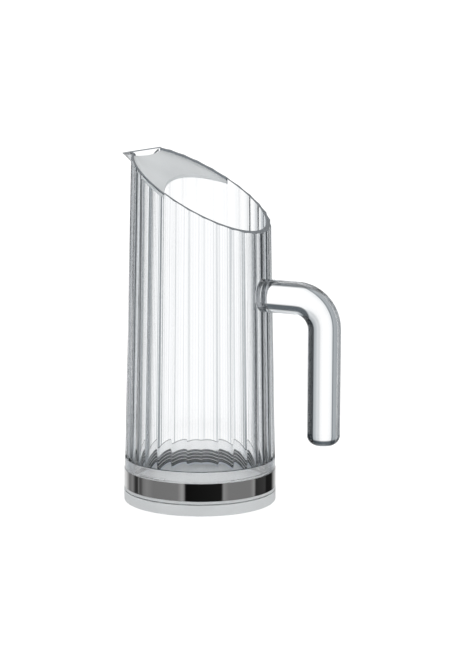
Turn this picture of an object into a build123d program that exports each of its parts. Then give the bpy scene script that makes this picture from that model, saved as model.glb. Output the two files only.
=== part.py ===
from build123d import *
import math
import os

# A clear water pitcher: a fluted, slightly tapered tube with a slanted mouth, a pouring spout, an ice
# guard and a rod handle, screwed into a base cup with a polished metal band and a frosted foot.
# Millimetres, +Z up, origin on the table under the tube's axis. The spout is on -X, the handle on +X.

# ---- Base, from the table up -------------------------------------------------------------------
base_radius = 54.0            # outside of the foot, the lip and the band
foot_height = 8.0
foot_edge = 1.2               # rounding of the foot's lower outer edge
groove_height = 0.7           # shadow line between the foot and the lip
groove_depth = 1.1
lip_height = 2.0              # clear ledge that the band rests on
band_height = 12.8
band_thickness = 0.45
band_edge = 0.15              # broken edges of the band
band_clearance = 0.05         # between the band and the cup inside it
collar_height = 7.8           # clear wall of the cup above the band
cup_wall = 2.0                # at the root of the cup's thread
cup_floor_thickness = 5.5

# ---- Screw thread between the tube and the cup, right hand, one start --------------------------
thread_pitch = 2.5
thread_clearance = 0.3        # radial, crest to root
thread_depth = 1.2
thread_root_width = 1.3
thread_crest_width = 0.45
thread_bottom_margin = 0.7    # plain length under a thread
thread_top_margin = 6.0       # plain length above it, up to the tube's shoulder
thread_sink = 0.25            # how far a thread's root reaches into its wall

# ---- Seal between the tube's lower end and the cup's floor -------------------------------------
seal_thickness = 1.5
seal_clearance = 0.35         # from the seal's rim to the cup's thread

# ---- Tube, whose ridges stand flush with the cup at the shoulder -------------------------------
tube_draft = 1.285            # degrees, narrower upwards
tube_wall = 3.36              # at the mouth, under a ridge
flute_count = 30
flute_depth = 0.7
rim_height = 222.7            # the slanted mouth, on the axis
rim_angle = 29.6              # degrees, high on the spout side
bore_draft = 0.65             # degrees, wider downwards

# ---- Spout --------------------------------------------------------------------------------------
spout_half_angle = 27.0       # degrees round the tube, each side of the spout
spout_reach = 16.0            # tip beyond the tube's wall
spout_drop = 11.0             # keel's foot below the tip
spout_lip_fall = 3.5          # the lip runs down this much towards the tip
spout_wall = 2.4
spout_tip_radius = 8.0

# ---- Ice guard ----------------------------------------------------------------------------------
guard_thickness = 2.0
guard_recess = 1.2            # below the mouth
guard_ledge = 1.0             # width of the ledge that carries it
guard_clearance = 0.1         # bonding gap round its edge
guard_back_radius = 84.0      # its hollow rear edge
guard_width = 23.3            # in the middle, from the pouring gap to the rear edge
guard_front_half_angle = 25.0 # where the pouring gap meets the tube
pouring_gap = 5.55            # in the middle, between the guard and the tube

# ---- Handle -------------------------------------------------------------------------------------
rod_radius = 11.5
arm_drop = 43.75              # arm's axis below the low side of the mouth
finger_gap = 31.9             # between the tube's foot and the upright rod
rod_end_height = 49.3         # free lower end
bend_radius = 20.5            # of the centre line
rod_end_rounding = 7.5
bond_thickness = 0.4          # cement between the handle and the ridges

# ---- Levels and radii that follow from them ----------------------------------------------------
lip_bottom = foot_height + groove_height
band_bottom = lip_bottom + lip_height
band_top = band_bottom + band_height
cup_top = band_top + collar_height
cup_floor = foot_height + cup_floor_thickness
cup_radius = base_radius - band_thickness - band_clearance
cup_root_radius = cup_radius - cup_wall
cup_crest_radius = cup_root_radius - thread_depth
neck_bottom = cup_floor + seal_thickness
neck_crest_radius = cup_root_radius - thread_clearance
neck_root_radius = neck_crest_radius - thread_depth
tube_radius = cup_radius      # over the ridges, at the shoulder
tube_taper = math.tan(math.radians(tube_draft))
bore_taper = math.tan(math.radians(bore_draft))
rim_slope = math.tan(math.radians(rim_angle))
mouth_radius = tube_radius - tube_taper * (rim_height - cup_top)
bore_radius = mouth_radius - tube_wall
guard_front_reach = pouring_gap - bore_radius
guard_back_reach = guard_front_reach + guard_width
rod_offset = tube_radius + finger_gap + rod_radius
arm_height = rim_height - rim_slope * mouth_radius - arm_drop
far = 4 * base_radius         # larger than the pitcher is wide
above = rim_height + 2 * base_radius


def tube_radius_at(z):
    return tube_radius - tube_taper * (z - cup_top)


def bore_radius_at(z):
    return bore_radius + bore_taper * (rim_height - z)


def rim_level(x, below=0.0):
    """Height of the mouth's plane at x, or of the plane that lies below it, measured square to it."""
    return rim_height - rim_slope * x - below / math.cos(math.radians(rim_angle))


def ring(inner, outer, bottom, top):
    """A plain upright ring."""
    height = top - bottom
    outside = Pos(0, 0, bottom) * Cylinder(outer, height, align=(Align.CENTER, Align.CENTER, Align.MIN))
    inside = Pos(0, 0, bottom) * Cylinder(inner, height, align=(Align.CENTER, Align.CENTER, Align.MIN))
    return outside - inside


def frustum(radius_at, bottom, top, extra=0.0):
    """A solid cone between two levels, as wide as radius_at says, plus extra."""
    height = top - bottom
    cone = Cone(radius_at(bottom) + extra, radius_at(top) + extra, height,
                align=(Align.CENTER, Align.CENTER, Align.MIN))
    return Pos(0, 0, bottom) * cone


def prism(points, depth):
    """A solid from points (x, z), extended by depth to both sides along Y."""
    outline = Plane.XZ * make_face(Polyline(*points, close=True))
    return extrude(outline, amount=depth, both=True)


def below_rim(offset=0.0):
    """Everything under the mouth's plane, or under the plane that lies offset below it."""
    return prism([(-far, -far), (far, -far), (far, rim_level(far, offset)),
                  (-far, rim_level(-far, offset))], far)


def helical_ridge(root, crest, bottom, top):
    """A screw thread from bottom to top, standing on the radius root and reaching the radius crest."""
    side = 1 if crest > root else -1
    half_root = thread_root_width / 2
    half_crest = thread_crest_width / 2
    slope = (half_root - half_crest) / abs(crest - root)
    sunk = root - side * thread_sink
    half_sunk = half_root + thread_sink * slope
    start = bottom + half_sunk
    corners = [(sunk, start - half_sunk), (crest, start - half_crest),
               (crest, start + half_crest), (sunk, start + half_sunk)]
    profile = Plane.XZ * make_face(Polyline(*corners, close=True))
    path = Pos(0, 0, start) * Helix(thread_pitch, top - bottom - 2 * half_sunk, root)
    return sweep(profile, path=path, is_frenet=True)


def fluted_outline(radius, level):
    """The tube's outline at one level: hollow flutes that meet in ridges, a ridge on each axis."""
    pitch = 2 * math.pi / flute_count
    depth = flute_depth * radius / tube_radius
    arcs = []
    for flute in range(flute_count):
        points = []
        for step, reach in ((0, radius), (0.5, radius * math.cos(pitch / 2) - depth), (1, radius)):
            angle = pitch * (flute + step)
            points.append((reach * math.cos(angle), reach * math.sin(angle), level))
        arcs.append(ThreePointArc(*points))
    return Face(Wire(arcs))


def spout_pyramid(wall):
    """The spout's outer form, which widens upwards from the keel's foot, moved inwards by a wall."""
    foot_x = -mouth_radius
    tip_x = foot_x - spout_reach
    side_x = -mouth_radius * math.cos(math.radians(spout_half_angle))
    side_y = mouth_radius * math.sin(math.radians(spout_half_angle))
    side_z = rim_level(side_x)
    tip_z = side_z - spout_lip_fall
    foot_z = tip_z - spout_drop
    keel = Vector(tip_x - foot_x, 0, tip_z - foot_z)
    facet = keel.cross(Vector(side_x - foot_x, side_y, side_z - foot_z)).normalized()
    shift = wall / abs(facet.X)
    top_z = side_z + spout_reach
    tip_grow = (top_z - foot_z) / (tip_z - foot_z)
    side_grow = (top_z - foot_z) / (side_z - foot_z)
    tip = (foot_x + (tip_x - foot_x) * tip_grow, 0)
    side = (foot_x + (side_x - foot_x) * side_grow, side_y * side_grow)
    outline = Polyline((side[0], side[1]), tip, (side[0], -side[1]), close=True)
    face = make_face(outline)
    corner = face.vertices().sort_by(Axis.X)[0]
    face = fillet(corner, spout_tip_radius * tip_grow)
    small = 0.02
    wide = Pos(0, 0, top_z) * face
    narrow = Pos(foot_x * (1 - small), 0, foot_z + (top_z - foot_z) * small) * scale(face, small)
    return Pos(shift, 0, 0) * loft([narrow.face(), wide.face()], ruled=True)


def below_lip():
    """Everything under the spout's lip, and under the mouth's plane behind the spout."""
    side_x = -mouth_radius * math.cos(math.radians(spout_half_angle))
    side_z = rim_level(side_x)
    fall = spout_lip_fall / (side_x + mouth_radius + spout_reach)
    return prism([(-far, -far), (far, -far), (far, rim_level(far)), (side_x, side_z),
                  (-far, side_z - fall * (side_x + far))], far)


def guard_plan():
    """The ice guard seen from above, uncut at the tube's wall, from the table to above the mouth."""
    back_centre = guard_back_reach + guard_back_radius
    reach = bore_radius_at(rim_height) + guard_ledge
    front_angle = math.radians(guard_front_half_angle)
    end_x = -reach * math.cos(front_angle)
    end_y = reach * math.sin(front_angle)
    half_plane = Pos(-far / 2, 0) * Rectangle(far, 2 * far)
    back = Pos(back_centre, 0) * Circle(guard_back_radius)
    sag = guard_front_reach - end_x
    front_radius = (end_y ** 2 + sag ** 2) / (2 * sag)
    front = Pos(guard_front_reach - front_radius, 0) * Circle(front_radius)
    return extrude((half_plane - back - front).face(), amount=above)


def make_foot():
    foot = Cylinder(base_radius, foot_height, align=(Align.CENTER, Align.CENTER, Align.MIN))
    lower = foot.edges().filter_by(GeomType.CIRCLE).sort_by(Axis.Z)[0]
    return fillet(lower, foot_edge)


def make_base_cup():
    outline = Polyline((0, foot_height), (base_radius - groove_depth, foot_height),
                       (base_radius - groove_depth, lip_bottom), (base_radius, lip_bottom),
                       (base_radius, band_bottom), (cup_radius, band_bottom), (cup_radius, cup_top),
                       (cup_root_radius, cup_top), (cup_root_radius, cup_floor), (0, cup_floor),
                       close=True)
    cup = revolve(Plane.XZ * make_face(outline), axis=Axis.Z)
    thread = helical_ridge(cup_root_radius, cup_crest_radius, cup_floor + thread_bottom_margin,
                           cup_top - thread_top_margin)
    half_turn_out = 180 - 360 * seal_thickness / thread_pitch
    return cup + Rot(0, 0, half_turn_out) * thread


def make_metal_band():
    band = ring(base_radius - band_thickness, base_radius, band_bottom, band_top)
    middle = base_radius - band_thickness / 2
    outer = band.edges().filter_by(GeomType.CIRCLE).filter_by(lambda edge: edge.radius > middle)
    return chamfer(outer, band_edge)


def make_seal_ring():
    inner = bore_radius_at(neck_bottom)
    outer = cup_crest_radius - seal_clearance
    return ring(inner, outer, cup_floor, neck_bottom)


def make_fluted_body():
    top = above
    wide = fluted_outline(tube_radius, cup_top)
    narrow = fluted_outline(tube_radius_at(top), top)
    body = loft([wide, narrow], ruled=True)
    body = body + (spout_pyramid(0) - frustum(bore_radius_at, cup_top, top))
    neck = Pos(0, 0, neck_bottom) * Cylinder(neck_root_radius, cup_top - neck_bottom,
                                             align=(Align.CENTER, Align.CENTER, Align.MIN))
    body = body + neck
    body = body & below_lip()
    body = body - frustum(bore_radius_at, neck_bottom, top)
    body = body - spout_pyramid(spout_wall)
    ledge = frustum(bore_radius_at, cup_top, top, guard_ledge) & guard_plan()
    ledge = ledge - below_rim(guard_recess + guard_thickness)
    body = body - ledge
    thread = helical_ridge(neck_root_radius, neck_crest_radius, neck_bottom + thread_bottom_margin,
                           cup_top - thread_top_margin)
    return body + thread


def make_ice_guard():
    disc = frustum(bore_radius_at, cup_top, above, guard_ledge - guard_clearance)
    plate = disc & guard_plan()
    plate = plate & below_rim(guard_recess)
    return plate - below_rim(guard_recess + guard_thickness)


def make_handle_rod():
    start = (0, 0, arm_height)
    bend_start = (rod_offset - bend_radius, 0, arm_height)
    bend_end = (rod_offset, 0, arm_height - bend_radius)
    end = (rod_offset, 0, rod_end_height)
    arc_middle = (rod_offset - bend_radius + bend_radius * math.sin(math.pi / 4), 0,
                  arm_height - bend_radius + bend_radius * math.cos(math.pi / 4))
    path = Wire([Line(start, bend_start), ThreePointArc(bend_start, arc_middle, bend_end),
                 Line(bend_end, end)])
    rod = sweep(Plane(origin=start, z_dir=(1, 0, 0)) * Circle(rod_radius), path=path)
    lower = rod.edges().filter_by(GeomType.CIRCLE).sort_by(Axis.Z)[0]
    return fillet(lower, rod_end_rounding)


def make_handle(rod):
    return rod - frustum(tube_radius_at, cup_top, above, bond_thickness)


def make_handle_bond(rod, body):
    cement = rod & frustum(tube_radius_at, cup_top, above, bond_thickness)
    cement = cement - frustum(bore_radius_at, cup_top, above)
    return cement - body


def main():
    os.makedirs("parts", exist_ok=True)
    body = make_fluted_body()
    rod = make_handle_rod()
    nodes = {
        "foot": make_foot(),
        "base_cup": make_base_cup(),
        "metal_band": make_metal_band(),
        "seal_ring": make_seal_ring(),
        "fluted_body": body,
        "ice_guard": make_ice_guard(),
        "handle": make_handle(rod),
        "handle_bond": make_handle_bond(rod, body),
    }
    for name, shape in nodes.items():
        export_step(shape, f"parts/{name}.step")
        print(name, len(shape.solids()), round(shape.volume, 1))


main()
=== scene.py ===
import math

import bmesh
import bpy
from mathutils import Matrix, Vector


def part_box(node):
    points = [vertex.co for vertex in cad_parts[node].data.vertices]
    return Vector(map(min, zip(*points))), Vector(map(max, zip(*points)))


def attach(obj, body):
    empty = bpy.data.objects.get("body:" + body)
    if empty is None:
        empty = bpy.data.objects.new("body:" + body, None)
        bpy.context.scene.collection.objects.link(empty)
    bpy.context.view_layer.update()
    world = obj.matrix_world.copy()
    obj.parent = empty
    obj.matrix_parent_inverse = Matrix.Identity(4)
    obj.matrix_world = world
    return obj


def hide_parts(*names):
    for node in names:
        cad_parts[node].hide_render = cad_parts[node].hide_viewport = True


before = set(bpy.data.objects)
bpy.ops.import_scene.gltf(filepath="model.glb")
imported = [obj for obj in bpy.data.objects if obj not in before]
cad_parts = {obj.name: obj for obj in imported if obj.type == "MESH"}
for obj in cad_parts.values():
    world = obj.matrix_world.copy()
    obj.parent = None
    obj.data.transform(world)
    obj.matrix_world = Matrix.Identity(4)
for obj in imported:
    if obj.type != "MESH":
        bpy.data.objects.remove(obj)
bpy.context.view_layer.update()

# A clear water pitcher. Metres; the spout is on -X, the handle on +X, and the foot stands on z = 0.
MM = 0.001

# ---- Sizes read from the frame ------------------------------------------------------------------
foot_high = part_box("foot")[1]
cup_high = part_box("base_cup")[1]
band_low, band_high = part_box("metal_band")
seal_low, seal_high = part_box("seal_ring")
tube_low, tube_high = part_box("fluted_body")
rod_low, rod_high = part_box("handle")

base_radius = foot_high.x
foot_top = foot_high.z
band_bottom = band_low.z
band_top = band_high.z
cup_top = cup_high.z
cup_floor = seal_low.z
seal_radius = seal_high.x
neck_bottom = tube_low.z
tube_radius = tube_high.x
rod_radius = rod_high.y
rod_offset = rod_high.x - rod_radius
rod_end = rod_low.z
arm_height = rod_high.z - rod_radius

# ---- Sizes of the maker's own drawing -------------------------------------------------------------
hair = 0.1 * MM               # how near a point has to be to count as lying on a surface
edge_rounding = 0.25 * MM
foot_edge = 1.2 * MM
groove_height = 0.7 * MM
groove_depth = 1.1 * MM
band_thickness = 0.45 * MM
band_edge = 0.15 * MM
band_clearance = 0.05 * MM
cup_wall = 2.0 * MM
loose_gap = 0.03 * MM         # keeps two pieces that turn on each other apart
bonded = 0.01 * MM            # bonded pieces reach this far into each other

thread_pitch = 2.5 * MM
thread_clearance = 0.3 * MM
thread_depth = 1.2 * MM
thread_root_width = 1.3 * MM
thread_crest_width = 0.45 * MM
thread_bottom_margin = 0.7 * MM
thread_top_margin = 6.0 * MM
thread_sink = 0.25 * MM

flute_count = 30
flute_steps = 8
flute_depth = 0.7 * MM
ridge_rounding = 0.35 * MM
tube_draft = math.radians(1.285)
bore_draft = math.radians(0.65)
rim_height = 222.7 * MM
rim_angle = math.radians(29.6)
tube_wall = 3.36 * MM

spout_half_angle = math.radians(27.0)
spout_reach = 16.0 * MM
spout_drop = 11.0 * MM
spout_lip_fall = 3.5 * MM
spout_wall = 2.4 * MM
spout_tip_radius = 8.0 * MM
spout_tip_reach = 1.045       # the bevel's curve is flatter than an arc, so it starts this much further
lip_edge = 0.7 * MM           # depth of the sawn edge along the spout's lip, which gets a dark colour as painted shade

guard_thickness = 2.0 * MM
guard_recess = 1.2 * MM
guard_ledge = 1.0 * MM
guard_clearance = 0.1 * MM
guard_back_radius = 84.0 * MM
guard_width = 23.3 * MM
guard_front_half_angle = math.radians(25.0)
pouring_gap = 5.55 * MM

bend_radius = 20.5 * MM
rod_end_rounding = 7.5 * MM
bond_thickness = 0.4 * MM

round_steps = flute_count * flute_steps
cup_radius = base_radius - band_thickness - band_clearance
cup_root_radius = cup_radius - cup_wall
neck_crest_radius = cup_root_radius - thread_clearance
neck_root_radius = neck_crest_radius - thread_depth
mouth_radius = tube_radius - (rim_height - cup_top) * math.tan(tube_draft)
bore_radius = mouth_radius - tube_wall
guard_front_reach = pouring_gap - bore_radius
guard_back_reach = guard_front_reach + guard_width
over_top = rim_height + 2 * base_radius
groove_top = foot_top + groove_height + bonded


def tube_radius_at(z):
    return tube_radius - (z - cup_top) * math.tan(tube_draft)


def bore_radius_at(z):
    return bore_radius + (rim_height - z) * math.tan(bore_draft)


def mouth_level(x, below=0.0):
    """Height at x of the mouth's plane, or of the plane that lies below it, measured square to it."""
    return rim_height - math.tan(rim_angle) * x - below / math.cos(rim_angle)


lip_x = -mouth_radius * math.cos(spout_half_angle)
lip_z = mouth_level(lip_x)
lip_angle = math.atan2(spout_lip_fall, lip_x + mouth_radius + spout_reach)
lip_up = Vector((-math.sin(lip_angle), 0, math.cos(lip_angle)))
lip_corner = Vector((lip_x, 0, lip_z))
mouth_up = Vector((math.sin(rim_angle), 0, math.cos(rim_angle)))


# ---- Working on a mesh ------------------------------------------------------------------------------
def open_piece(piece):
    """Puts one piece alone in edit mode with nothing of it selected."""
    bpy.ops.object.select_all(action="DESELECT")
    bpy.context.view_layer.objects.active = piece
    piece.select_set(True)
    bpy.ops.object.mode_set(mode="EDIT")
    bpy.ops.mesh.select_mode(type="VERT")
    bpy.ops.mesh.select_all(action="DESELECT")


def close_piece():
    bpy.ops.object.mode_set(mode="OBJECT")


def pick(kind, test):
    """Selects the vertices, edges or faces that pass the test, which is given each element."""
    bpy.ops.mesh.select_mode(type=kind)
    bpy.ops.mesh.select_all(action="DESELECT")
    mesh = bmesh.from_edit_mesh(bpy.context.active_object.data)
    elements = {"VERT": mesh.verts, "EDGE": mesh.edges, "FACE": mesh.faces}[kind]
    for element in elements:
        if test(element):
            element.select_set(True)
    mesh.select_flush_mode()
    bmesh.update_edit_mesh(bpy.context.active_object.data)


def middle(edge):
    return (edge.verts[0].co + edge.verts[1].co) / 2


def clean(piece):
    """Merges doubles, turns the faces outwards and shades smoothly up to 30 degrees."""
    open_piece(piece)
    bpy.ops.mesh.select_all(action="SELECT")
    bpy.ops.mesh.remove_doubles(threshold=0.002 * MM)
    bpy.ops.mesh.normals_make_consistent(inside=False)
    close_piece()
    bpy.ops.object.shade_smooth_by_angle(angle=math.radians(30))


def settle(piece):
    """Leaves the piece's place in its mesh and its object at the origin."""
    bpy.ops.object.select_all(action="DESELECT")
    piece.select_set(True)
    bpy.context.view_layer.objects.active = piece
    bpy.ops.object.transform_apply(location=True, rotation=True, scale=True)


def named(name):
    piece = bpy.context.active_object
    piece.name = name
    piece.data.name = name
    settle(piece)
    return piece


def cut_by(piece, other, how):
    """Joins other to the piece, cuts it out, or keeps what both share, and drops other."""
    tool = piece.modifiers.new("shape", "BOOLEAN")
    tool.operation = how
    tool.solver = "EXACT"
    tool.object = other
    bpy.ops.object.select_all(action="DESELECT")
    bpy.context.view_layer.objects.active = piece
    piece.select_set(True)
    bpy.ops.object.modifier_apply(modifier=tool.name)
    bpy.data.objects.remove(other)


def copy_of(piece, name):
    twin = piece.copy()
    twin.data = piece.data.copy()
    twin.name = name
    bpy.context.scene.collection.objects.link(twin)
    return twin


def distance_out(element):
    """Distance of a face's middle from the axis."""
    point = element.calc_center_median()
    return math.hypot(point.x, point.y)


def level_of(face):
    return face.calc_center_median().z


def score(point, normal):
    """Draws an edge round the open piece where a plane meets it, without cutting anything off."""
    bpy.ops.mesh.select_all(action="SELECT")
    bpy.ops.mesh.bisect(plane_co=point, plane_no=normal)


def give_finish(piece, material, test):
    """Gives the faces that pass the test a finish of their own."""
    piece.data.materials.append(material)
    open_piece(piece)
    pick("FACE", test)
    piece.active_material_index = len(piece.data.materials) - 1
    bpy.ops.object.material_slot_assign()
    close_piece()


def cut_plane(point, normal):
    """Cuts the open piece by a plane, closes the cut and drops what lies on the normal's side."""
    bpy.ops.mesh.select_all(action="SELECT")
    bpy.ops.mesh.bisect(plane_co=point, plane_no=normal, use_fill=True, clear_outer=True)


def turned(name, outline):
    """A turned piece: a ring is extruded from point to point (radius, height) and back to the first."""
    radius, height = outline[0]
    bpy.ops.mesh.primitive_circle_add(vertices=round_steps, radius=radius, location=(0, 0, height))
    piece = named(name)
    open_piece(piece)
    bpy.ops.mesh.select_all(action="SELECT")
    for next_radius, next_height in outline[1:] + outline[:1]:
        if next_radius == 0:
            bpy.ops.mesh.edge_face_add()
            bpy.ops.mesh.select_all(action="DESELECT")
            break
        bpy.ops.mesh.extrude_region_move(
            TRANSFORM_OT_translate={"value": (0, 0, next_height - height)})
        grow = next_radius / radius
        bpy.ops.transform.resize(value=(grow, grow, 1), center_override=(0, 0, 0))
        radius, height = next_radius, next_height
    if outline[-1][0] == 0:
        pick("EDGE", lambda e: e.is_boundary)
        bpy.ops.mesh.edge_face_add()
    close_piece()
    clean(piece)
    return piece


def round_edges(piece, width, segments=3):
    """Breaks the edges of a piece that are sharper than 30 degrees."""
    soft = piece.modifiers.new("edges", "BEVEL")
    soft.width = width
    soft.segments = segments
    soft.limit_method = "ANGLE"
    soft.angle_limit = math.radians(30)
    bpy.ops.object.select_all(action="DESELECT")
    bpy.context.view_layer.objects.active = piece
    piece.select_set(True)
    bpy.ops.object.modifier_apply(modifier=soft.name)
    bpy.ops.object.shade_smooth_by_angle(angle=math.radians(30))


# ---- Shared shapes ----------------------------------------------------------------------------------
def cone_between(name, radius_at, bottom, top, extra=0.0):
    """A solid cone between two levels, as wide as radius_at says, plus extra."""
    bpy.ops.mesh.primitive_cone_add(vertices=round_steps, radius1=radius_at(bottom) + extra,
                                    radius2=radius_at(top) + extra, depth=top - bottom,
                                    location=(0, 0, (bottom + top) / 2))
    return named(name)


def post(name, radius, x):
    """A tall upright cylinder, used to cut a curved edge in the ice guard."""
    bpy.ops.mesh.primitive_cylinder_add(vertices=2 * round_steps, radius=radius, depth=2 * over_top,
                                        location=(x, 0, 0))
    return named(name)


def thread(name, root, crest, bottom, top, turn):
    """A right-hand screw thread that stands on the radius root and reaches the radius crest."""
    side = 1 if crest > root else -1
    half_root = thread_root_width / 2
    half_crest = thread_crest_width / 2
    half_sunk = half_root + thread_sink * (half_root - half_crest) / abs(crest - root)
    sunk = root - side * thread_sink
    start = bottom + half_sunk
    turns = (top - bottom - 2 * half_sunk) / thread_pitch
    bpy.ops.mesh.primitive_plane_add(size=1, location=(0, 0, 0))
    piece = named(name)
    open_piece(piece)
    corners = {(-1, -1): (sunk, start - half_sunk), (1, -1): (crest, start - half_crest),
               (1, 1): (crest, start + half_crest), (-1, 1): (sunk, start + half_sunk)}
    for (right, upper), (radius, height) in corners.items():
        pick("VERT", lambda v: abs(v.co.z) < 1e-9 and v.co.x * right > 0.4 and v.co.y * upper > 0.4)
        here = Vector((0.5 * right, 0.5 * upper, 0))
        bpy.ops.transform.translate(value=Vector((radius, 0, height)) - here)
    close_piece()
    screw = piece.modifiers.new("turns", "SCREW")
    screw.axis = "Z"
    screw.angle = 2 * math.pi * turns
    screw.screw_offset = thread_pitch * turns
    screw.steps = round(96 * turns)
    screw.render_steps = screw.steps
    bpy.ops.object.modifier_apply(modifier=screw.name)
    open_piece(piece)
    pick("EDGE", lambda e: e.is_boundary)
    bpy.ops.mesh.fill_holes(sides=0)
    bpy.ops.mesh.select_all(action="SELECT")
    bpy.ops.transform.rotate(value=-turn, orient_axis="Z", center_override=(0, 0, 0))
    close_piece()
    clean(piece)
    return piece


def flute_reach(phase):
    """Distance from the axis across a flute, as a share of the ridge's; phase runs from 0 to 1."""
    pitch = 2 * math.pi / flute_count
    half_chord = math.sin(pitch / 2)
    depth = flute_depth / tube_radius
    arc = (half_chord ** 2 + depth ** 2) / (2 * depth)
    centre = math.cos(pitch / 2) - depth + arc
    angle = pitch * (phase - 0.5)
    return centre * math.cos(angle) - math.sqrt(arc ** 2 - (centre * math.sin(angle)) ** 2)


def flute_phase(point):
    return (math.atan2(point.y, point.x) * flute_count / (2 * math.pi)) % 1.0


def fluted_blank(name):
    """The tube's solid outer form: hollow flutes up to above the mouth, and the plain neck below."""
    bpy.ops.mesh.primitive_circle_add(vertices=round_steps, radius=tube_radius,
                                      location=(0, 0, cup_top + loose_gap))
    piece = named(name)
    open_piece(piece)
    for step in range(1, flute_steps):
        phase = step / flute_steps
        pick("VERT", lambda v: abs(flute_phase(v.co) - phase) < 0.01)
        reach = flute_reach(phase)
        bpy.ops.transform.resize(value=(reach, reach, 1), center_override=(0, 0, 0))
    lifts = 16
    rise = (over_top - cup_top) / lifts
    bpy.ops.mesh.select_all(action="SELECT")
    for lift in range(lifts):
        bpy.ops.mesh.extrude_region_move(TRANSFORM_OT_translate={"value": (0, 0, rise)})
        taper = tube_radius_at(cup_top + rise * (lift + 1)) / tube_radius_at(cup_top + rise * lift)
        bpy.ops.transform.resize(value=(taper, taper, 1), center_override=(0, 0, 0))
    pick("EDGE", lambda e: abs(e.verts[0].co.z - e.verts[1].co.z) > rise / 2
         and abs((flute_phase(middle(e)) + 0.5) % 1.0 - 0.5) < 0.01)
    bpy.ops.mesh.bevel(offset=ridge_rounding, segments=3, affect="EDGES")
    pick("EDGE", lambda e: e.is_boundary and middle(e).z > over_top - rise / 2)
    bpy.ops.mesh.edge_face_add()
    pick("EDGE", lambda e: e.is_boundary)
    bpy.ops.mesh.extrude_region_move(TRANSFORM_OT_translate={"value": (0, 0, 0)})
    bpy.ops.transform.tosphere(value=1.0, center_override=(0, 0, cup_top + loose_gap))
    mesh = bmesh.from_edit_mesh(piece.data)
    ring = [v.co for v in mesh.verts if v.select]
    now = sum(math.hypot(p.x, p.y) for p in ring) / len(ring)
    bpy.ops.transform.resize(value=(neck_root_radius / now, neck_root_radius / now, 1),
                             center_override=(0, 0, 0))
    bpy.ops.mesh.extrude_region_move(
        TRANSFORM_OT_translate={"value": (0, 0, neck_bottom - cup_top)})
    bpy.ops.mesh.edge_face_add()
    close_piece()
    clean(piece)
    return piece


def spout_blank(name, wall):
    """The spout's form, which widens upwards from the keel's foot, moved inwards by a wall."""
    foot_x = -mouth_radius
    tip_x = foot_x - spout_reach
    side_y = -foot_x * math.sin(spout_half_angle)
    tip_z = lip_z - spout_lip_fall
    foot_z = tip_z - spout_drop
    top_z = lip_z + spout_reach
    keel = Vector((tip_x - foot_x, 0, tip_z - foot_z))
    facet = keel.cross(Vector((lip_x - foot_x, side_y, lip_z - foot_z))).normalized()
    tip_grow = (top_z - foot_z) / (tip_z - foot_z)
    side_grow = (top_z - foot_z) / (lip_z - foot_z)
    tip = Vector((foot_x - spout_reach * tip_grow, 0, top_z))
    side = Vector((foot_x + (lip_x - foot_x) * side_grow, side_y * side_grow, top_z))
    bpy.ops.mesh.primitive_circle_add(vertices=3, radius=1, fill_type="NGON", location=(0, 0, 0))
    piece = named(name)
    open_piece(piece)
    corners = [tip, side, Vector((side.x, -side.y, side.z))]
    for number, corner in enumerate(corners):
        mesh = bmesh.from_edit_mesh(piece.data)
        mesh.verts.ensure_lookup_table()
        here = mesh.verts[number].co.copy()
        pick("VERT", lambda v: v.index == number)
        bpy.ops.transform.translate(value=corner - here)
    pick("VERT", lambda v: (v.co - tip).length < 1e-6)
    half_corner = math.atan2(side.y, side.x - tip.x)
    start = spout_tip_reach * spout_tip_radius * tip_grow / math.tan(half_corner)
    bpy.ops.mesh.bevel(offset=start, segments=16, affect="VERTICES", profile=0.5)
    pick("FACE", lambda f: True)
    keel_foot = Vector((foot_x, 0, foot_z))
    bpy.ops.mesh.extrude_region_move(TRANSFORM_OT_translate={"value": (0, 0, 0)})
    bpy.ops.transform.resize(value=(0.02, 0.02, 0.02), center_override=keel_foot)
    bpy.ops.mesh.select_all(action="SELECT")
    bpy.ops.transform.translate(value=(wall / abs(facet.x), 0, 0))
    close_piece()
    clean(piece)
    return piece


def guard_blank(name, extra, lower, upper=None):
    """The ice guard's plan inside the bore widened by extra, between two depths under the mouth."""
    piece = cone_between(name, bore_radius_at, cup_top, over_top, extra)
    open_piece(piece)
    cut_plane(Vector((0, 0, mouth_level(0, lower))), -mouth_up)
    if upper is not None:
        cut_plane(Vector((0, 0, mouth_level(0, upper))), mouth_up)
    close_piece()
    end_x = -(bore_radius + guard_ledge) * math.cos(guard_front_half_angle)
    end_y = (bore_radius + guard_ledge) * math.sin(guard_front_half_angle)
    sag = guard_front_reach - end_x
    front_radius = (end_y ** 2 + sag ** 2) / (2 * sag)
    cut_by(piece, post("cutter", guard_back_radius, guard_back_reach + guard_back_radius), "DIFFERENCE")
    cut_by(piece, post("cutter", front_radius, guard_front_reach - front_radius), "DIFFERENCE")
    return piece


# ---- The pieces ---------------------------------------------------------------------------------------
def make_foot():
    foot = turned("frosted_foot", [(base_radius, 0), (base_radius, foot_top + bonded), (0, 0)])
    open_piece(foot)
    pick("EDGE", lambda e: max(v.co.z for v in e.verts) < 1e-6)
    bpy.ops.mesh.bevel(offset=foot_edge, segments=6, affect="EDGES")
    pick("EDGE", lambda e: min(v.co.z for v in e.verts) > foot_top - hair)
    bpy.ops.mesh.bevel(offset=edge_rounding, segments=3, affect="EDGES")
    close_piece()
    clean(foot)
    return foot


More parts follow.
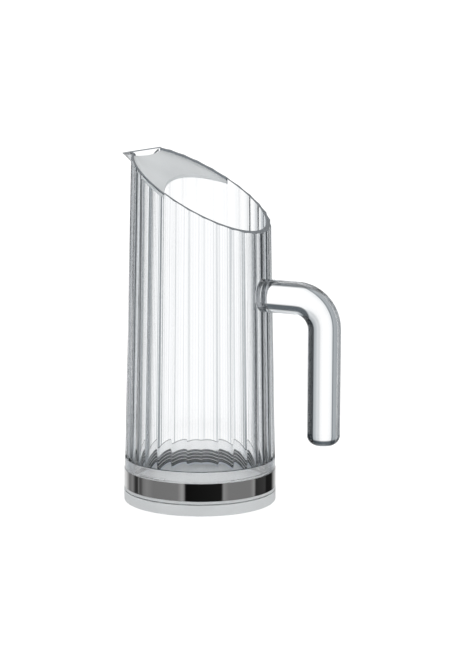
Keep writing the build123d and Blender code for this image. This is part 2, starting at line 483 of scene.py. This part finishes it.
def make_cup():
    groove_radius = base_radius - groove_depth
    lip_bottom = foot_top + groove_height
    cup = turned("clear_cup", [
        (groove_radius, foot_top), (groove_radius, lip_bottom), (base_radius, lip_bottom),
        (base_radius, band_bottom), (cup_radius, band_bottom), (cup_radius, band_top),
        (cup_radius, cup_top), (cup_root_radius, cup_top), (cup_root_radius, cup_floor), (0, 0)])
    round_edges(cup, edge_rounding)
    # Half a turn out of step with the neck's thread, so that the two lie in each other's gaps.
    half_turn_out = math.pi - 2 * math.pi * (neck_bottom - cup_floor) / thread_pitch
    ridge = thread("cup_thread", cup_root_radius, cup_root_radius - thread_depth,
                   cup_floor + thread_bottom_margin, cup_top - thread_top_margin, half_turn_out)
    cut_by(cup, ridge, "UNION")
    clean(cup)
    return cup


def make_band():
    inner = base_radius - band_thickness
    band = turned("polished_band", [(inner, band_bottom), (base_radius, band_bottom),
                                    (base_radius, band_top), (inner, band_top)])
    round_edges(band, band_edge)
    return band


def make_seal():
    hole_radius = bore_radius_at(neck_bottom)
    top = neck_bottom - loose_gap
    seal = turned("seal", [(hole_radius, cup_floor), (seal_radius, cup_floor), (seal_radius, top),
                           (hole_radius, top)])
    round_edges(seal, edge_rounding)
    return seal


def make_tube():
    """The tube, and a copy of its solid outer form for the cement to be cut by."""
    tube = fluted_blank("fluted_tube")
    blank = copy_of(tube, "tube_blank")
    cut_by(tube, spout_blank("spout", 0.0), "UNION")
    open_piece(tube)
    cut_plane(Vector((0, 0, rim_height)), mouth_up)
    cut_plane(lip_corner, lip_up)
    close_piece()
    ridge = thread("neck_thread", neck_root_radius, neck_crest_radius, neck_bottom + thread_bottom_margin,
                   cup_top - thread_top_margin, 0.0)
    cut_by(tube, ridge, "UNION")
    cut_by(tube, cone_between("bore", bore_radius_at, foot_top, over_top), "DIFFERENCE")
    cut_by(tube, spout_blank("spout_hollow", spout_wall), "DIFFERENCE")
    cut_by(tube, guard_blank("ledge", guard_ledge, guard_recess + guard_thickness), "DIFFERENCE")
    open_piece(tube)
    score(lip_corner - lip_edge * lip_up, lip_up)
    score(Vector((0, 0, mouth_level(0, guard_recess))), mouth_up)
    close_piece()
    clean(tube)
    return tube, blank


def make_guard():
    guard = guard_blank("ice_guard_plate", guard_ledge - guard_clearance,
                        guard_recess + guard_thickness, guard_recess)
    round_edges(guard, edge_rounding, segments=2)
    clean(guard)
    return guard


def rod_start(name, reach):
    """A round rod that lies along +X from inside the tube's wall as far as reach."""
    start = 0.8 * tube_radius
    bpy.ops.mesh.primitive_cylinder_add(vertices=96, radius=rod_radius, depth=reach - start,
                                        location=((start + reach) / 2, 0, arm_height),
                                        rotation=(0, math.pi / 2, 0))
    return named(name)


def make_handle():
    bend_x = rod_offset - bend_radius
    handle = rod_start("rod_handle", bend_x)
    open_piece(handle)
    pick("FACE", lambda f: f.normal.x > 0.9)
    bpy.ops.mesh.spin(steps=24, angle=-math.pi / 2, center=(bend_x, 0, arm_height - bend_radius),
                      axis=(0, 1, 0))
    drop = arm_height - bend_radius - rod_end
    bpy.ops.mesh.extrude_region_move(TRANSFORM_OT_translate={"value": (0, 0, -drop)})
    pick("EDGE", lambda e: max(v.co.z for v in e.verts) < rod_end + hair)
    bpy.ops.mesh.bevel(offset=rod_end_rounding, segments=12, affect="EDGES")
    close_piece()
    clean(handle)
    saddle = cone_between("saddle", tube_radius_at, cup_top, over_top, bond_thickness - bonded)
    cut_by(handle, saddle, "DIFFERENCE")
    clean(handle)
    return handle


def make_bond(tube_blank):
    bond = rod_start("handle_cement", tube_radius + 5 * MM)
    layer = cone_between("layer", tube_radius_at, cup_top, over_top, bond_thickness)
    cut_by(bond, layer, "INTERSECT")
    open_piece(tube_blank)
    bpy.ops.mesh.select_all(action="SELECT")
    shrunk = 1 - bonded / tube_radius
    bpy.ops.transform.resize(value=(shrunk, shrunk, 1), center_override=(0, 0, 0))
    close_piece()
    cut_by(bond, tube_blank, "DIFFERENCE")
    clean(bond)
    return bond


def is_sawn_painted_shade(face):
    """The mouth's face, the spout's lip and the wall of the ice guard's recess: sawn faces that get a dark
    colour as painted shade.
    """
    point = face.calc_center_median()
    if point.z < arm_height:
        return False
    under = (mouth_level(point.x) - point.z) * math.cos(rim_angle)
    reach = distance_out(face)
    lip = point.x < lip_x + 1 * MM and (lip_corner - point).dot(lip_up) < lip_edge
    recess = under < guard_recess and abs(reach - bore_radius_at(point.z) - guard_ledge) < hair
    return lip or recess or (face.normal.z > 0.6 and abs(under) < hair)


def is_cup_floor(face):
    return face.normal.z > 0.9 and abs(level_of(face) - cup_floor) < hair


def is_collar(face):
    return level_of(face) > band_top and distance_out(face) > cup_radius - hair


def is_cup_lip(face):
    return groove_top < level_of(face) < band_bottom and distance_out(face) > cup_radius - hair


def is_band_back(face):
    return abs(face.normal.z) < 0.5 and face.normal.dot(face.calc_center_median()) < 0


# Crests and upward-facing flanks of the neck's thread, which get a lighter frosted finish as a painted
# highlight.
def is_thread_top_painted_highlight(face):
    on_neck = neck_bottom < level_of(face) < cup_top - 1 * MM
    return on_neck and face.normal.z > -0.1 and distance_out(face) > neck_root_radius + 0.4 * MM


# ---- Finishes -----------------------------------------------------------------------------------------
class Value:
    """A socket in a Python expression; each operator adds a Math node to its tree."""

    def __init__(self, finish, socket):
        self.finish = finish
        self.socket = socket

    def maths(self, operation, first, second=0.0):
        return self.finish.node("ShaderNodeMath", {"operation": operation}, {0: first, 1: second})

    def __add__(self, other):
        return self.maths("ADD", self, other)

    def __radd__(self, other):
        return self.maths("ADD", other, self)

    def __mul__(self, other):
        return self.maths("MULTIPLY", self, other)

    def __rmul__(self, other):
        return self.maths("MULTIPLY", other, self)

    def __truediv__(self, other):
        return self.maths("DIVIDE", self, other)


class Finish:
    """A node tree that is filled by node(), which takes a node's type, settings and sockets."""

    def __init__(self, tree):
        self.tree = tree
        self.tree.nodes.clear()

    def node(self, kind, settings=None, sockets=None, output=0):
        made = self.tree.nodes.new(kind)
        for name, value in (settings or {}).items():
            if name == "stops":
                set_stops(made.color_ramp, value)
            else:
                setattr(made, name, value)
        for name, value in (sockets or {}).items():
            if isinstance(value, Value):
                self.tree.links.new(value.socket, made.inputs[name])
            else:
                made.inputs[name].default_value = value
        if output is not None:
            return Value(self, made.outputs[output])


def set_stops(ramp, stops):
    """Fills a colour ramp from a list of (place, grey or colour)."""
    while len(ramp.elements) > 1:
        ramp.elements.remove(ramp.elements[-1])
    for number, (place, colour) in enumerate(stops):
        element = ramp.elements[0] if number == 0 else ramp.elements.new(place)
        element.position = place
        if not isinstance(colour, tuple):
            colour = (colour, colour, colour, 1.0)
        element.color = colour


def new_finish(name):
    material = bpy.data.materials.new(name)
    material.use_nodes = True
    return material, Finish(material.node_tree)


def grain(finish, scale, stretch=(1, 1, 1), detail=3.0):
    """Noise on the piece's own coordinates, stretched along its axes."""
    place = finish.node("ShaderNodeTexCoord", output="Object")
    spread = finish.node("ShaderNodeMapping", {}, {"Vector": place, "Scale": stretch})
    return finish.node("ShaderNodeTexNoise", {}, {"Vector": spread, "Scale": scale, "Detail": detail})


def bump(finish, height, depth):
    return finish.node("ShaderNodeBump", {}, {"Height": height, "Strength": 1.0, "Distance": depth})


def clear_acrylic(name, haze):
    """Clear acrylic; haze is the share of the light that its surface scatters."""
    material, finish = new_finish(name)
    flow = grain(finish, 18.0, (1, 1, 0.3))
    # The colour darkens towards grazing view angles: painted shade along the edges, standing in for the
    # dark surroundings seen there. The faint blue seen face-on is the acrylic's own tint.
    painted_edge_shade_facing = finish.node("ShaderNodeLayerWeight", {}, {"Blend": 0.5}, output="Facing")
    colour = finish.node("ShaderNodeValToRGB", {"stops": [
        (0.0, (0.992, 0.996, 1.0, 1)), (0.5, (0.985, 0.992, 1.0, 1)),
        (0.75, (0.80, 0.84, 0.88, 1)), (1.0, (0.6, 0.65, 0.7, 1))]}, {"Fac": painted_edge_shade_facing})
    surface = finish.node("ShaderNodeBsdfPrincipled", {}, {
        "Base Color": colour, "Roughness": flow * 0.004 + haze * 0.4,
        "IOR": 1.49, "Transmission Weight": 1.0 - haze,
        "Normal": bump(finish, flow, 0.004 * MM)})
    finish.node("ShaderNodeOutputMaterial", {}, {"Surface": surface}, output=None)
    return material


def frosted_acrylic(name, grey, transmission):
    material, finish = new_finish(name)
    frost = grain(finish, 2600.0)
    cloud = grain(finish, 30.0)
    colour = finish.node("ShaderNodeValToRGB", {"stops": [
        (0.3, (grey - 0.05, grey - 0.03, grey - 0.02, 1)),
        (0.7, (grey + 0.01, grey + 0.03, grey + 0.04, 1))]}, {"Fac": cloud})
    surface = finish.node("ShaderNodeBsdfPrincipled", {}, {
        "Base Color": colour, "Roughness": 0.4 + frost * 0.15, "IOR": 1.49,
        "Transmission Weight": transmission, "Normal": bump(finish, frost, 0.03 * MM)})
    finish.node("ShaderNodeOutputMaterial", {}, {"Surface": surface}, output=None)
    return material


def sawn_edge_painted_shade():
    material, finish = new_finish("sawn_edge_painted_shade")
    marks = grain(finish, 400.0)
    # The dark base colour is painted shade along the cut edges; the saw marks' roughness and bump belong
    # to the edge itself.
    surface = finish.node("ShaderNodeBsdfPrincipled", {}, {
        "Base Color": (0.14, 0.16, 0.18, 1), "Roughness": 0.3 + marks * 0.2, "IOR": 1.49,
        "Transmission Weight": 0.3, "Normal": bump(finish, marks, 0.01 * MM)})
    finish.node("ShaderNodeOutputMaterial", {}, {"Surface": surface}, output=None)
    return material


def polished_steel():
    material, finish = new_finish("polished_steel")
    lines = grain(finish, 60.0, (1, 1, 40))
    surface = finish.node("ShaderNodeBsdfPrincipled", {}, {
        "Base Color": (0.80, 0.80, 0.80, 1), "Metallic": 1.0, "Roughness": 0.03 + lines * 0.04,
        "Normal": bump(finish, lines, 0.002 * MM)})
    finish.node("ShaderNodeOutputMaterial", {}, {"Surface": surface}, output=None)
    return material


def band_back():
    """The dull inner side of the band, where it is cemented to the cup, coloured near black as painted
    shade.
    """
    material, finish = new_finish("band_back")
    lines = grain(finish, 60.0, (1, 1, 40))
    surface = finish.node("ShaderNodeBsdfPrincipled", {}, {
        "Base Color": (0.07, 0.08, 0.09, 1), "Metallic": 0.7, "Roughness": 0.3 + lines * 0.2})
    finish.node("ShaderNodeOutputMaterial", {}, {"Surface": surface}, output=None)
    return material


def seal_silicone():
    material, finish = new_finish("seal_silicone")
    cloud = grain(finish, 200.0)
    surface = finish.node("ShaderNodeBsdfPrincipled", {}, {
        "Base Color": (0.72, 0.76, 0.82, 1), "Roughness": 0.35 + cloud * 0.2, "IOR": 1.41,
        "Transmission Weight": 0.4, "Normal": bump(finish, cloud, 0.02 * MM)})
    finish.node("ShaderNodeOutputMaterial", {}, {"Surface": surface}, output=None)
    return material


# ---- Studio -------------------------------------------------------------------------------------------
view_angle = math.radians(28.0)       # from the front, towards the handle
camera_distance = 1.832
camera_height = 0.452
camera_pitch = 0.17888
camera_turn = 0.01186
camera_roll = 0.00367
focal_share = 2636.4 / 664            # focal length as a share of the picture's height


def make_camera():
    side = Vector((math.cos(view_angle), math.sin(view_angle), 0))
    place = Vector((math.sin(view_angle), -math.cos(view_angle), 0)) * camera_distance
    place.z = camera_height
    aim = side * camera_distance * math.tan(camera_turn)
    aim.z = camera_height - camera_distance * math.tan(camera_pitch)
    lens = bpy.data.cameras.new("camera")
    lens.sensor_width = 36.0
    lens.lens = lens.sensor_width * focal_share
    lens.clip_end = 50.0
    camera = bpy.data.objects.new("camera", lens)
    bpy.context.scene.collection.objects.link(camera)
    turn = (aim - place).to_track_quat("-Z", "Y").to_matrix().to_4x4()
    camera.matrix_world = Matrix.Translation(place) @ turn @ Matrix.Rotation(camera_roll, 4, "Z")
    bpy.context.scene.camera = camera


def make_floor():
    bpy.ops.mesh.primitive_plane_add(size=30, location=(0, 0, -0.2 * MM))
    floor = named("floor")
    material, finish = new_finish("pale_floor")
    shade = finish.node("ShaderNodeBsdfDiffuse", {}, {"Color": (0.35, 0.35, 0.35, 1)})
    glow = finish.node("ShaderNodeEmission", {}, {"Color": (1, 1, 1, 1), "Strength": 0.8})
    both = finish.node("ShaderNodeAddShader", {}, {0: shade, 1: glow})
    finish.node("ShaderNodeOutputMaterial", {}, {"Surface": both}, output=None)
    floor.data.materials.append(material)
    floor.visible_glossy = False
    floor.visible_transmission = False


def make_light():
    """A white room with dark cards to the sides, seen only by reflections and through the acrylic.

    The cards are placed by degrees round the pitcher: 0 is the camera's own side, 180 straight behind,
    150 to the right of that and -150 to the left.
    """
    world = bpy.data.worlds.new("studio")
    bpy.context.scene.world = world
    world.use_nodes = True
    finish = Finish(world.node_tree)
    direction = finish.node("ShaderNodeTexCoord", output="Generated")
    turned_to = finish.node("ShaderNodeVectorRotate", {"rotation_type": "Z_AXIS"},
                            {"Vector": direction, "Angle": math.pi / 2 - view_angle})
    x = finish.node("ShaderNodeSeparateXYZ", {}, {0: turned_to}, output="X")
    y = finish.node("ShaderNodeSeparateXYZ", {}, {0: turned_to}, output="Y")
    height = finish.node("ShaderNodeSeparateXYZ", {}, {0: turned_to}, output="Z")
    angle = finish.node("ShaderNodeMath", {"operation": "ARCTAN2"}, {0: y, 1: x})
    share = angle / (2 * math.pi) + 0.5

    def cool(grey):
        """A grey with a little blue in it; white stays white."""
        return (grey ** 1.07, grey, grey ** 0.95, 1.0)

    def cards(stops):
        """Grey levels round the room, from (degrees, grey)."""
        return finish.node("ShaderNodeValToRGB", {"stops": [(0.5 + d / 360, g) for d, g in stops]},
                           {"Fac": share})

    def levels(stops):
        """Grey levels by height, from (degrees above the horizon, grey)."""
        return finish.node("ShaderNodeValToRGB",
                           {"stops": [(0.5 + math.sin(math.radians(d)) / 2, g) for d, g in stops]},
                           {"Fac": height * 0.5 + 0.5})

    def mixed(factor, first, second, how="MIX"):
        return finish.node("ShaderNodeMix", {"data_type": "RGBA", "blend_type": how},
                           {0: factor, 6: first, 7: second}, output=2)

    behind = [(-180, 1.0), (-174, 0.97), (-168, 0.9), (-163, 0.74), (-162, 0.2), (-159.5, 0.2),
              (-158, 0.38), (-138, 0.3), (-135, 0.01), (-124, 0.01), (-121, 0.7), (-113, 0.7),
              (-110, 0.01), (-80, 0.01), (-70, 0.6), (0, 0.9), (70, 0.6), (80, 0.01), (101, 0.01),
              (104, 0.7), (111, 0.7), (114, 0.01), (148, 0.02), (150, 0.4), (156, 0.48), (161, 0.66),
              (165, 0.62), (170, 0.9), (175, 0.97), (180, 1.0)]
    above_and_below = [(-90, 0.95), (-64, 0.9), (-58, 0.1), (-40, 0.1), (-34, 1.0), (8, 1.0), (12, 0.12),
                       (28, 0.12), (36, 0.8), (60, 1.0), (90, 1.0)]
    seen_through = mixed(1.0, cards([(turn, cool(grey)) for turn, grey in behind]),
                         levels([(rise, cool(grey)) for rise, grey in above_and_below]), "MULTIPLY")
    round_about = cards([(-180, 1.0), (-150, 0.65), (-137, 0.26), (-135, 0.16), (-124, 0.25), (-119, 0.12),
                         (-115, 0.03), (-109, 0.04), (-107, 0.22), (-104, 0.07), (-100, 0.1), (-96, 0.2),
                         (-88, 0.25), (-75, 0.2), (-34, 0.21), (-27, 0.36), (-24, 0.26), (-22, 0.006),
                         (33, 0.012), (36, 0.3), (44, 0.21), (82, 0.21), (90, 0.32), (94, 0.03),
                         (117, 0.05), (121, 0.01), (140, 0.015), (145, 0.22), (155, 0.5), (180, 1.0)])
    overhead = levels([(-90, 0.0), (28, 0.0), (40, 1.0), (90, 1.0)])
    mirrored = mixed(1.0, round_about, overhead, "ADD")
    camera_ray = finish.node("ShaderNodeLightPath", output="Is Camera Ray")
    glossy_ray = finish.node("ShaderNodeLightPath", output="Is Glossy Ray")
    through_ray = finish.node("ShaderNodeLightPath", output="Is Transmission Ray")
    bounces = finish.node("ShaderNodeLightPath", output="Diffuse Depth")
    scattered = bounces.maths("MINIMUM", bounces, 1.0)
    white = (1.0, 1.0, 1.0, 1.0)
    # What a frosted face inside the clear acrylic scatters gets white light, and more of it.
    seen_through = mixed(scattered, seen_through, white)
    boost = scattered * 1.1 + 0.1
    # A ray that leaves clear acrylic counts as glossy too, so it is sorted out after the glossy ones.
    light = mixed(glossy_ray, white, mirrored)
    light = mixed(through_ray, light, seen_through)
    light = mixed(camera_ray, light, white)
    background = finish.node("ShaderNodeBackground", {}, {"Color": light,
                                                          "Strength": 1.0 + through_ray * boost})
    finish.node("ShaderNodeOutputWorld", {}, {"Surface": background}, output=None)


def set_look():
    scene = bpy.context.scene
    scene.view_settings.view_transform = "Standard"
    scene.cycles.max_bounces = 24
    scene.cycles.transmission_bounces = 24
    scene.cycles.glossy_bounces = 12
    scene.cycles.diffuse_bounces = 8
    scene.cycles.transparent_max_bounces = 16


# ---- Putting it together --------------------------------------------------------------------------------
make_camera()
make_floor()
make_light()
set_look()

clear = clear_acrylic("clear_acrylic", 0.0)
frosted = frosted_acrylic("frosted_acrylic", 0.73, 0.35)
# The foot's copy of the frosted finish is lighter than the guard's: painted light, standing in for the
# brighter light that falls through it.
frosted_foot = frosted_acrylic("frosted_side", 0.81, 0.35)

tube, tube_blank = make_tube()
foot = make_foot()
cup = make_cup()
band = make_band()
pieces = [
    (tube, "pitcher", "fluted_body", "clear_acrylic", clear),
    (foot, "base", "foot", "frosted_acrylic", frosted_foot),
    (cup, "base", "base_cup", "clear_acrylic", clear),
    (band, "base", "metal_band", "polished_metal", polished_steel()),
    (make_seal(), "seal", "seal_ring", "seal_silicone", seal_silicone()),
    (make_guard(), "pitcher", "ice_guard", "frosted_acrylic", frosted),
    (make_handle(), "pitcher", "handle", "clear_acrylic", clear),
    (make_bond(tube_blank), "pitcher", "handle_bond", "clear_cement", clear),
]
for piece, body, node, slot_name, material in pieces:
    piece.data.materials.clear()
    piece.data.materials.append(material)
    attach(piece, body)
    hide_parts(node)

give_finish(cup, frosted, lambda f: is_cup_floor(f) or is_cup_lip(f))
give_finish(cup, clear_acrylic("hazy_acrylic", 0.25), is_collar)
give_finish(band, band_back(), is_band_back)
give_finish(tube, sawn_edge_painted_shade(), is_sawn_painted_shade)
# A lighter frosted finish on the thread's tops: a painted highlight for the light falling on them from
# above.
give_finish(tube, frosted_acrylic("frosted_painted_highlight", 0.9, 0.3), is_thread_top_painted_highlight)
